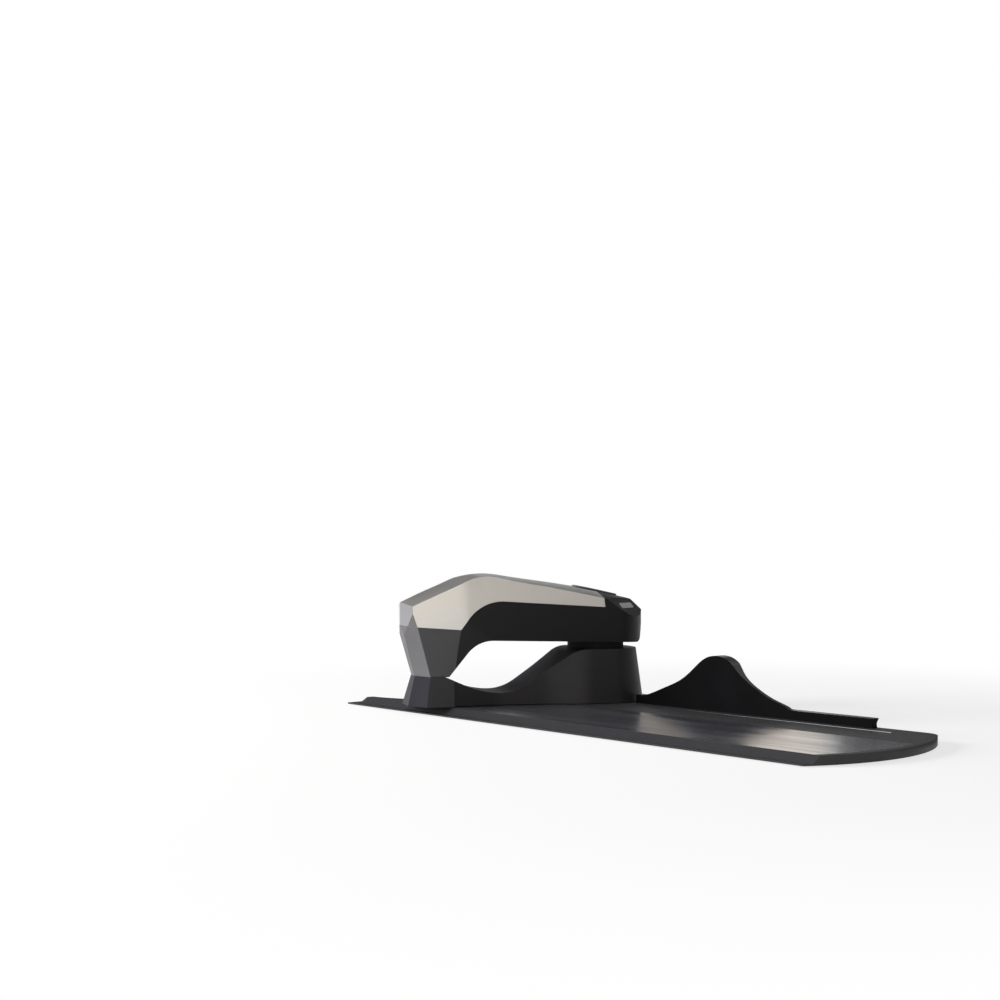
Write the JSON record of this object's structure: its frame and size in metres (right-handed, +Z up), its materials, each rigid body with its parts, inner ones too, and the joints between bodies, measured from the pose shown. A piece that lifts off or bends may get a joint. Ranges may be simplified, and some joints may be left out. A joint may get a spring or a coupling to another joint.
{
  "type": "print colorimeter with calibration dock and guide",
  "caption": "Arched hand-held print colorimeter on its calibration dock, standing across a flat reading guide with a hand fin.",
  "frame": {"origin": "on the table under the guide plate, in the middle of the rectangle that the whole object covers", "axes": "+Z up, +X along the reader from its nose to its rear, +Y away from its near side; the guide lies turned 65 degrees under it"},
  "size_m": [0.2702, 0.3508, 0.0896],
  "materials": {
    "guide_black": "moulded ABS, fine satin grain",
    "panel_black": "smooth semi-gloss polycarbonate",
    "rail_black": "moulded ABS, matt",
    "soft_rubber": "matt",
    "screw_steel": "zinc plated",
    "dock_grey": "moulded ABS, satin",
    "tile_white": "glazed ceramic",
    "cover_silver": "metallic lacquer on moulded ABS, satin",
    "nose_grey": "moulded ABS, satin",
    "handle_black": "moulded ABS, satin",
    "button_grey": "moulded, satin",
    "inner_black": "matt",
    "black_aluminium": "black anodised",
    "clear_glass": "polished",
    "led_clear": "clear epoxy",
    "board_green": "solder mask",
    "socket_steel": "nickel plated",
    "lens_smoke": "translucent polycarbonate"
  },
  "bodies": {
    "guide": {"guide_plate": "guide_black", "guide_base_sheet": "guide_black", "grip_strips": "soft_rubber", "reading_panel": "panel_black", "rail_fin": "rail_black", "rail_screws": "screw_steel"},
    "dock": {"dock_shell": "dock_grey", "dock_base_plate": "dock_grey", "dock_screws": "screw_steel", "dock_feet": "soft_rubber", "tile_holder": "inner_black", "tile_pad": "soft_rubber", "calibration_tile": "tile_white", "seat_pad": "soft_rubber"},
    "reader": {"top_cover": "cover_silver", "nose_shell": "nose_grey", "handle_shell": "handle_black", "nose_tip_ring": "inner_black", "aperture_window": "clear_glass", "optics_barrel": "black_aluminium", "focusing_lens": "clear_glass", "led_board": "board_green", "measuring_leds": "led_clear", "light_sensor": "inner_black", "main_board": "board_green", "board_chips": "inner_black", "usb_socket": "socket_steel", "button_switch": "inner_black", "status_lens": "lens_smoke", "rear_foot": "soft_rubber", "housing_screws": "screw_steel"},
    "button": {"measure_button": "button_grey"}
  },
  "joints": [
    {"name": "dock_lift", "type": "slide", "parent": "guide", "child": "dock", "axis": [0, 0, 1], "range_m": [0, 0.04]},
    {"name": "reader_lift", "type": "slide", "parent": "dock", "child": "reader", "axis": [0, 0, 1], "range_m": [0, 0.06]},
    {"name": "button_press", "type": "slide", "parent": "reader", "child": "button", "axis": [-0.1599, 0, -0.9871], "range_m": [0, 0.001], "stiffness_N_per_m": 600, "springref_m": -0.0005}
  ]
}
